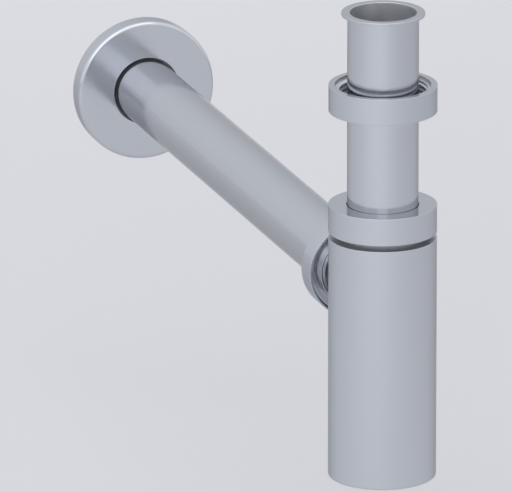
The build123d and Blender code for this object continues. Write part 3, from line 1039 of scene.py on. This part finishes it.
class BOTTLE_TRAP_OT_wall_flange(bpy.types.Operator):
    """Turn the pressed wall flange with its rounded rim and its boss"""

    bl_idname = "bottle_trap.wall_flange"
    bl_label = "Wall Flange"

    def execute(self, context):
        sizes = settings("pipe")
        outside = far_corner("wall_flange").x
        back = far_corner("wall_flange").y
        front = near_corner("wall_flange").y
        groove_start = near_corner("flange_grip_ring").y
        groove_end = far_corner("flange_grip_ring").y
        inside = outside - sizes.sheet
        behind = front + sizes.sheet
        boss = sizes.hole + sizes.boss_wall
        boss_end = back - sizes.boss_setback
        groove = sizes.hole + sizes.groove_depth
        cut_edge = sizes.sheet / 6
        piece = turned(
            "wall_flange_pressing",
            [
                (sizes.hole, front), (outside, front), (outside, back), (inside, back), (inside, behind),
                (boss, behind), (boss, boss_end), (sizes.hole, boss_end), (sizes.hole, groove_end),
                (groove, groove_end), (groove, groove_start), (sizes.hole, groove_start),
            ],
            [
                (outside, front, sizes.face_edge, 6),
                (inside, behind, sizes.fold, 3),
                (outside, back, cut_edge, 2),
                (inside, back, cut_edge, 2),
                (sizes.hole, front, 1.5 * cut_edge, 2),
            ],
        )
        lay_along_outlet(piece)
        finish_metal(
            piece, "wall_flange", "wall_flange", "Y",
            [("dull_plate", lambda radius, place: place > front + sizes.sheet / 2
              and radius < inside + sizes.sheet / 2)],
        )
        return {"FINISHED"}


class BOTTLE_TRAP_OT_cleaning_plug(bpy.types.Operator):
    """Turn the cleaning plug, cut its thread and mill its slot"""

    bl_idname = "bottle_trap.cleaning_plug"
    bl_label = "Cleaning Plug"

    def execute(self, context):
        sizes = settings("plug")
        threads = settings("thread")
        outside = far_corner("cleaning_plug").x
        base = near_corner("cleaning_plug").z
        top = far_corner("cleaning_plug").z
        disc_top = base + sizes.flange
        land_top = disc_top + sizes.land
        core = sizes.stem - threads.plug_depth
        piece = turned(
            "plug_with_slot",
            [
                (outside, base), (outside, disc_top), (sizes.stem, disc_top), (sizes.stem, land_top),
                (core, land_top), (core, top), (sizes.hollow, top), (sizes.hollow, top - sizes.hollow_depth),
            ],
            [
                (outside, base, sizes.edge, 3),
                (core, top, sizes.edge, 2),
                (sizes.hollow, top, sizes.edge, 2),
            ],
            capped=True,
        )
        thread = ridge(
            core, sizes.stem, land_top + threads.plug_pitch / 2, top - threads.plug_pitch / 2,
            land_top, threads.plug_pitch,
        )
        combine(piece, thread, "UNION")
        deselect()
        bpy.ops.mesh.primitive_cube_add(size=1, location=(0, 0, base))
        mill = bpy.context.object
        mill.scale = (sizes.slot_length, sizes.slot_width, 2 * sizes.slot_depth)
        fix_place(mill)
        heights = [vertex.co.z for vertex in mill.data.vertices]
        pick(
            mill, "EDGE",
            lambda edge: abs(heights[edge.vertices[0]] - heights[edge.vertices[1]]) > sizes.slot_depth,
        )
        bpy.ops.mesh.bevel(offset=sizes.slot_width / 2 - NEAR, segments=8, affect="EDGES")
        bpy.ops.object.mode_set(mode="OBJECT")
        combine(piece, mill, "DIFFERENCE")
        finish_metal(
            piece, "cleaning_plug", "cleaning_plug", "Z",
            [("dull_plate", lambda radius, place: place > disc_top + NEAR)],
        )
        return {"FINISHED"}


class BOTTLE_TRAP_OT_seals(bpy.types.Operator):
    """Give the packed seals and slip rings their finishes"""

    bl_idname = "bottle_trap.seals"
    bl_label = "Seals and Rings"

    def execute(self, context):
        for node in ("inlet_cone_seal", "outlet_cone_seal", "flange_grip_ring", "plug_o_ring"):
            self.dress(node, finished("moulded_epdm_rubber", sealing_rubber))
        for node in ("inlet_slip_ring", "outlet_slip_ring"):
            self.dress(node, finished("moulded_natural_acetal", natural_acetal))
        return {"FINISHED"}

    def dress(self, node, material):
        """Give one packed node its material."""
        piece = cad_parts[node]
        piece.data.materials.clear()
        piece.data.materials.append(material)


class BOTTLE_TRAP_PT_panel(bpy.types.Panel):
    """Sidebar panel that lists the pieces of the trap and their settings"""

    bl_idname = "BOTTLE_TRAP_PT_panel"
    bl_label = "Bottle Trap"
    bl_space_type = "VIEW_3D"
    bl_region_type = "UI"
    bl_category = "Bottle Trap"

    def draw(self, context):
        for operator in OPERATORS:
            self.layout.operator(operator.bl_idname)
        for name, group in GROUPS.items():
            box = self.layout.box()
            box.label(text=group.__doc__)
            for setting in group.__annotations__:
                box.prop(settings(name), setting)


GROUPS = {
    "tube": TubeSizes,
    "thread": ThreadSizes,
    "nut": NutSizes,
    "body": BodySizes,
    "outlet": OutletSizes,
    "pipe": PipeSizes,
    "plug": PlugSizes,
    "finish": FinishColours,
    "studio": StudioSettings,
}
OPERATORS = (
    BOTTLE_TRAP_OT_inlet_tube,
    BOTTLE_TRAP_OT_union_nut,
    BOTTLE_TRAP_OT_clamp_nut,
    BOTTLE_TRAP_OT_trap_body,
    BOTTLE_TRAP_OT_outlet_spigot,
    BOTTLE_TRAP_OT_outlet_nut,
    BOTTLE_TRAP_OT_wall_pipe,
    BOTTLE_TRAP_OT_wall_flange,
    BOTTLE_TRAP_OT_cleaning_plug,
    BOTTLE_TRAP_OT_seals,
    BOTTLE_TRAP_OT_stage,
)


def register():
    """Register every class and hang the settings on the scene."""
    for group in GROUPS.values():
        bpy.utils.register_class(group)
    for operator in OPERATORS:
        bpy.utils.register_class(operator)
    bpy.utils.register_class(BOTTLE_TRAP_PT_panel)
    for name, group in GROUPS.items():
        setattr(bpy.types.Scene, "bottle_trap_" + name, PointerProperty(type=group))


def unregister():
    """Take everything back off."""
    for name in GROUPS:
        delattr(bpy.types.Scene, "bottle_trap_" + name)
    bpy.utils.unregister_class(BOTTLE_TRAP_PT_panel)
    for operator in reversed(OPERATORS):
        bpy.utils.unregister_class(operator)
    for group in reversed(list(GROUPS.values())):
        bpy.utils.unregister_class(group)


def main():
    """Build every piece and the studio."""
    register()
    bpy.ops.bottle_trap.inlet_tube()
    bpy.ops.bottle_trap.union_nut()
    bpy.ops.bottle_trap.clamp_nut()
    bpy.ops.bottle_trap.trap_body()
    bpy.ops.bottle_trap.outlet_spigot()
    bpy.ops.bottle_trap.outlet_nut()
    bpy.ops.bottle_trap.wall_pipe()
    bpy.ops.bottle_trap.wall_flange()
    bpy.ops.bottle_trap.cleaning_plug()
    bpy.ops.bottle_trap.seals()
    bpy.ops.bottle_trap.stage()


if __name__ == "__main__":
    main()
